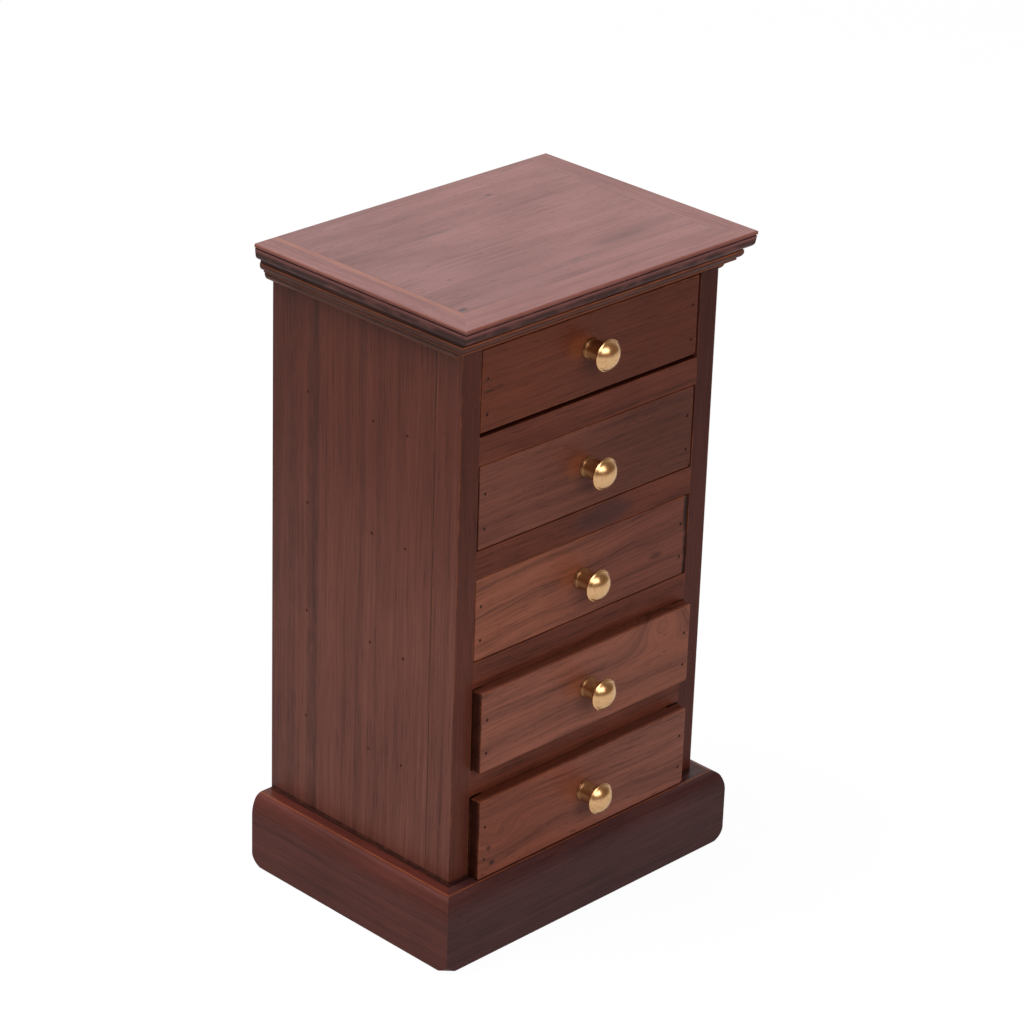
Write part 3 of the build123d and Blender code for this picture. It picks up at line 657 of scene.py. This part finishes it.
class CHEST_OT_case(bpy.types.Operator):
    """Stains the side panels, stiles and rails"""

    bl_idname = "chest.case"
    bl_label = "Case"

    GROWN_DARK = Wash("z", -20.0, 130.0, (0.73, 0.59, 0.53))
    REAR = Wash("y", 40.0, 75.0, (0.75, 0.74, 0.84))
    PANEL_STREAKS = (Line("y", 72.0, 5.0, 0.3, KNOT), Line("y", 55.0, 7.0, 0.35, KNOT),
                     Line("y", 14.0, 3.5, 0.15, KNOT), Line("y", -42.6, 0.8, 0.6, KNOT))
    STILE_FACES = {"stile_left": (0.6, 0.47, 0.42), "stile_right": (0.46, 0.3, 0.27)}
    RAILS = ("rail_top", "rail_1", "rail_2", "rail_3", "rail_4", "rail_5")
    RAIL_MARKS = {"rail_2": [Spot("x", "z", (14.0, 0.0), (22.0, 7.0), 0.5, shade(46, 32, 36))]}

    def execute(self, context):
        stains = context.scene.chest_stains
        wear_and_highlight = tuple(stains.wear_and_highlight)
        side = tones(stains, "side")
        # Dirt and painted shade along the foot of the case, where it meets the plinth.
        foot_dirt_and_shade = Line("z", in_mm("plinth_left")[1][2] + 0.6, 1.8, 0.7, DIRT_AND_SHADE)
        for number, node in enumerate(("side_panel_left", "side_panel_right")):
            dress(node, wood(node + "_wood", node, "zyx", side, 41.0 + number, rings=(150.0, 40.0, 12.0),
                             blotches=0.5, pores=0.3, washes=[self.GROWN_DARK, self.REAR],
                             lines=[foot_dirt_and_shade, *self.PANEL_STREAKS]))
        for number, (node, tint) in enumerate(self.STILE_FACES.items()):
            dress(node, wood(node + "_wood", node, "zyx", side, 51.0 + number,
                             figure=0.25, streaks=0.65, arris=(0.5, wear_and_highlight, 0.4),
                             washes=[self.GROWN_DARK, Wash("y", -8.8, -9.4, tint)], lines=[foot_dirt_and_shade]))
        for number, node in enumerate(self.RAILS):
            low, high = in_mm(node)
            face = (low[1] - high[1]) / 2
            # Painted shade on the rail's upper and lower faces behind its front, where they show in the
            # gaps by the drawers.
            painted_shade_behind_face = Wash("y", face + 0.6, face + 1.6, (0.3, 0.24, 0.22))
            dress(node, wood(node + "_wood", node, "xzy", tones(stains, "frame"), 61.0 + number,
                             figure=0.25, streaks=0.65, blotches=1.0, arris=(0.4, wear_and_highlight, 0.4),
                             spots=self.RAIL_MARKS.get(node, []),
                             washes=[everywhere((1.08, 0.86, 0.66)), painted_shade_behind_face]))
        return {"FINISHED"}


class CHEST_OT_drawers(bpy.types.Operator):
    """Stains the drawer fronts and the drawer boxes"""

    bl_idname = "chest.drawers"
    bl_label = "Drawers"

    FIGURES = {
        1: dict(rings=(120.0, 60.0, 7.0), figure=0.16, streaks=0.55, seed=1.3,
                tints=((0.78, 0.58, 0.43), (0.62, 0.43, 0.31)),
                spots=[Spot("x", "z", (-79.0, -0.6), (3.6, 0.7), 0.6, KNOT),
                       Spot("x", "z", (-71.0, 0.4), (2.0, 0.6), 0.5, KNOT)]),
        2: dict(rings=(90.0, 50.0, 4.0), figure=0.2, streaks=0.65, seed=2.9,
                tints=((0.96, 0.97, 1.04), (0.59, 0.53, 0.51))),
        3: dict(rings=(60.0, 30.0, 8.0), wobble=2.5, figure=0.42, streaks=0.7, seed=4.1, slant=0.05,
                tints=((1.43, 1.48, 1.42), (0.9, 0.84, 0.88)),
                spots=[Spot("x", "z", (60.0, -6.0), (5.0, 2.0), 0.5, KNOT),
                       Spot("x", "z", (83.6, 15.0), (1.4, 11.0), 0.95, DIRT_AND_SHADE)],
                lines=[Line("x", 83.6, 1.5, 0.95, KNOT)]),
        4: dict(rings=(30.0, 14.0, 8.0), wobble=2.5, figure=0.36, streaks=0.6, seed=5.7,
                tints=((1.38, 1.5, 1.6), (1.28, 1.38, 1.42)),
                bends=[((62.0, 22.0), (20.0, 14.0), 17.0)]),
        5: dict(rings=(-34.0, 18.0, 7.5), wobble=3.0, figure=0.42, streaks=0.65, seed=6.4,
                tints=((1.09, 1.0, 0.96), (1.22, 1.36, 1.52)),
                bends=[((-70.0, -4.0), (20.0, 9.0), 10.0)],
                spots=[Spot("x", "z", (-77.0, -7.0), (1.8, 1.3), 0.7, KNOT),
                       Spot("x", "z", (-74.0, -17.5), (2.2, 1.5), 0.75, KNOT)]),
    }
    SHADED_EDGE = Wash("y", -5.6, -4.2, (0.6, 0.5, 0.45))
    DARK_LEFT_END = Wash("x", -84.2, -84.8, (0.34, 0.3, 0.3))
    BOX = {"left_side": "yzx", "right_side": "yzx", "back": "xzy", "bottom": "xyz"}

    def execute(self, context):
        stains = context.scene.chest_stains
        for number in DRAWERS:
            self.front(number, stains)
            self.box(number, stains)
        return {"FINISHED"}

    def front(self, number, stains):
        """The stained front, with a painted warm glow of light thrown by the brass beside the knob."""
        node = f"drawer_{number}_front"
        low, high = in_mm(node)
        knob_low, knob_high = in_mm(f"drawer_{number}_knob")
        across, up = ((knob_low[i] + knob_high[i] - low[i] - high[i]) / 2 for i in (0, 2))
        look = dict(self.FIGURES[number])
        left, right = look.pop("tints")
        wear_and_highlight = tuple(stains.wear_and_highlight)
        # Painted glow of light reflected from the brass knob onto the front.
        painted_brass_glow = Spot("x", "z", (across - 7.0, up + 2.5), (10.0, 6.5), 0.4, wear_and_highlight)
        dress(node, wood(node + "_wood", node, "xzy", tones(stains, "front"), look.pop("seed"),
                         arris=(0.7, wear_and_highlight, 0.42), spots=[painted_brass_glow, *look.pop("spots", [])],
                         washes=[Wash("x", 50.0, -50.0, left), Wash("x", -50.0, 50.0, right),
                                 self.SHADED_EDGE, self.DARK_LEFT_END], **look))

    def box(self, number, stains):
        """The pale box behind the front, with painted shade near the front where it shows in the gaps."""
        for turn, (part, axes) in enumerate(self.BOX.items()):
            node = f"drawer_{number}_{part}"
            low, high = in_mm(node)
            front = (low[1] - high[1]) / 2
            # Painted shade on the box's sides and bottom near the front.
            painted_gap_shade = [] if part == "back" else [Wash("y", front + 16.0, front + 6.0, (0.3, 0.22, 0.2))]
            dress(node, wood(node + "_wood", node, axes, tones(stains, "inner"), number * 10.0 + turn,
                             gloss=-0.2, figure=0.5, washes=painted_gap_shade))


class CHEST_OT_inside(bpy.types.Operator):
    """Stains the back, the bottom board, the runners, glue blocks and pins"""

    bl_idname = "chest.inside"
    bl_label = "Inside"

    def execute(self, context):
        stains = context.scene.chest_stains
        dress("back_panel", wood("back_wood", "back_panel", "zxy", tones(stains, "side"), 71.0,
                                 rings=(170.0, 60.0, 9.0), figure=0.4, streaks=0.7, blotches=1.0,
                                 gloss=-0.2, varnish=0.0))
        rough = {"bottom_board": "xyz", "drawer_runners": "yxz", "corner_blocks": "zxy"}
        for number, (node, axes) in enumerate(rough.items()):
            dress(node, wood(node + "_wood", node, axes, tones(stains, "inner"), 81.0 + number, gloss=-0.2))
        dress("runner_pins", wood("pin_wood", "runner_pins", "xzy", tones(stains, "moulding"), 91.0))
        iron = self.iron()
        for number in DRAWERS:
            dress(f"drawer_{number}_fasteners", iron)
        return {"FINISHED"}

    def iron(self):
        """Dark oxidised pins."""
        material = bpy.data.materials.new("dark_iron")
        bench = Bench(material)
        spot = bench.scaled(bench.add("ShaderNodeTexCoord", output="Object"), (900, 900, 900))
        patch = bench.noise(spot, 3.0)
        colour = bench.mix(patch, shade(68, 41, 32), shade(42, 24, 19))
        shader = bench.add("ShaderNodeBsdfPrincipled", {},
                           {"Base Color": colour, "Metallic": 0.4, "Roughness": patch * 0.2 + 0.45})
        bench.finish(shader)
        return material


class CHEST_OT_knobs(bpy.types.Operator):
    """Turns the five brass knobs"""

    bl_idname = "chest.knobs"
    bl_label = "Knobs"

    THROAT = 0.0064         # radius where the neck meets the head
    RIM_BACK = 0.0123       # distances forward of the seat
    RIM_FRONT = 0.0138
    COVE_END = 0.0030
    UNDERCUT = 0.0018       # how far the head is cut away behind its rim
    EASE = 0.0004           # rounding of the rim
    NECK_STEPS = 6
    DOME_STEPS = 13
    RING_PITCH = 0.7        # millimetres between turning marks on the neck

    def execute(self, context):
        settings = context.scene.chest_knobs
        for number in DRAWERS:
            node = f"drawer_{number}_knob"
            low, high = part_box(node)
            seat = Vector(((low[0] + high[0]) / 2, high[1], (low[2] + high[2]) / 2))
            head = (high[0] - low[0]) / 2
            reach = high[1] - low[1]
            knob = turned(f"turned_knob_{number}", seat, self.profile(settings, head, reach),
                          settings.segments)
            knob.data.materials.append(self.brass(settings, number, seat))
            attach(knob, f"drawer_{number}")
            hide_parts(node)
        return {"FINISHED"}

    def profile(self, settings, head, reach):
        """Flange, cove, slender neck, undercut head with a narrow rim, and dome."""
        base = settings.base_radius
        waist = settings.waist_radius
        throat, rim_back, rim_front, ease = self.THROAT, self.RIM_BACK, self.RIM_FRONT, self.EASE
        line = [(0.0, base - 0.0002), (0.0002, base), (0.0006, base), (0.0008, base - 0.0002),
                (0.0009, base - 0.0006), (0.0013, waist + 0.0004), (0.0020, waist + 0.0001),
                (self.COVE_END, waist)]
        neck = rim_back - self.UNDERCUT - self.COVE_END
        for step in range(1, self.NECK_STEPS + 1):
            share = step / self.NECK_STEPS
            line.append((self.COVE_END + share * neck, waist + (throat - waist) * share ** 2.2))
        line += [(rim_back - 0.0014, throat + 0.0004), (rim_back - 0.0009, throat + 0.0012),
                 (rim_back - 0.0001, head - 0.0007), (rim_back + 0.0001, head - 0.0003),
                 (rim_back + ease, head), (rim_front - ease, head), (rim_front - 0.0001, head - 0.0002),
                 (rim_front, head - ease)]
        flat = head - ease
        rise = reach - rim_front
        curve = (flat * flat + rise * rise) / (2 * rise)
        widest = math.asin(flat / curve)
        for step in range(1, self.DOME_STEPS):
            turn = widest * (1 - step / self.DOME_STEPS)
            line.append((reach - curve + curve * math.cos(turn), curve * math.sin(turn)))
        line.append((reach, curve * math.sin(widest / self.DOME_STEPS / 2)))
        return line

    def brass(self, settings, number, seat):
        """Polished dome, duller neck and dark dirt in the groove at the seat."""
        material = bpy.data.materials.new(f"polished_brass_{number}")
        bench = Bench(material)
        x, y, z = bench.place()
        middle = [c * MM_PER_METRE for c in seat]
        across, up, forward = x - middle[0], z - middle[2], middle[1] - y
        radius = (across * across + up * up) ** SQUARE_ROOT
        body = bench.join(x, y, z)
        cloud = bench.noise(bench.scaled(body, (0.35, 0.35, 0.35), (number * 3.0, 0, 0)), 3.0, 0.6)
        speck = bench.noise(bench.scaled(body, (1.5, 1.5, 1.5), (0, number * 5.0, 0)), 3.0, 0.7)
        neck = forward.rise(11.9, 11.3)
        dull = cloud.rise(0.45, 0.75)
        colour = bench.mix(dull * 0.35, tuple(settings.brass), tuple(settings.tarnish))
        colour = bench.mix(neck * 0.5, colour, shade(158, 96, 54))
        colour = bench.mix(speck.rise(0.66, 0.74) * 0.25, colour, shade(120, 74, 42))
        colour = bench.mix(forward.rise(1.3, 0.5) * 0.6, colour, shade(96, 58, 34))
        lathe = bench.wander(radius * 4.0 + y * 3.0, 2.0)
        rings = (forward * (math.tau / self.RING_PITCH)).math("SINE")
        relief = lathe * 0.006 + cloud * 0.012 + rings * neck * 0.07
        normal = bench.add("ShaderNodeBump", {}, {"Strength": 1.0, "Distance": 0.001, "Height": relief})
        shader = bench.add("ShaderNodeBsdfPrincipled", {},
                           {"Base Color": colour, "Metallic": 1.0, "Normal": normal,
                            "Roughness": 0.23 + dull * 0.06 + speck * 0.03 + neck * 0.05})
        bench.finish(shader)
        return material


class CHEST_PT_panel(bpy.types.Panel):
    """Lists the steps that finish the chest"""

    bl_idname = "CHEST_PT_panel"
    bl_label = "Desk chest"
    bl_space_type = "VIEW_3D"
    bl_region_type = "UI"
    bl_category = "Desk chest"

    def draw(self, context):
        scene = context.scene
        for settings in (scene.chest_stains, scene.chest_knobs, scene.chest_stage):
            box = self.layout.box()
            for name in settings.__annotations__:
                box.prop(settings, name)
        for step in STEPS:
            self.layout.operator(step.bl_idname)


GROUPS = {"chest_stains": CHEST_PG_stains, "chest_knobs": CHEST_PG_knobs, "chest_stage": CHEST_PG_stage}
STEPS = (CHEST_OT_stage, CHEST_OT_top, CHEST_OT_mouldings, CHEST_OT_case, CHEST_OT_drawers,
         CHEST_OT_inside, CHEST_OT_knobs)


def register():
    for kind in (*GROUPS.values(), *STEPS, CHEST_PT_panel):
        bpy.utils.register_class(kind)
    for name, group in GROUPS.items():
        setattr(bpy.types.Scene, name, bpy.props.PointerProperty(type=group))


def unregister():
    for name in GROUPS:
        delattr(bpy.types.Scene, name)
    for kind in reversed((*GROUPS.values(), *STEPS, CHEST_PT_panel)):
        bpy.utils.unregister_class(kind)


def main():
    """Registers the add-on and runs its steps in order."""
    register()
    bpy.ops.chest.stage()
    bpy.ops.chest.top()
    bpy.ops.chest.mouldings()
    bpy.ops.chest.case()
    bpy.ops.chest.drawers()
    bpy.ops.chest.inside()
    bpy.ops.chest.knobs()


if __name__ == "__main__":
    main()
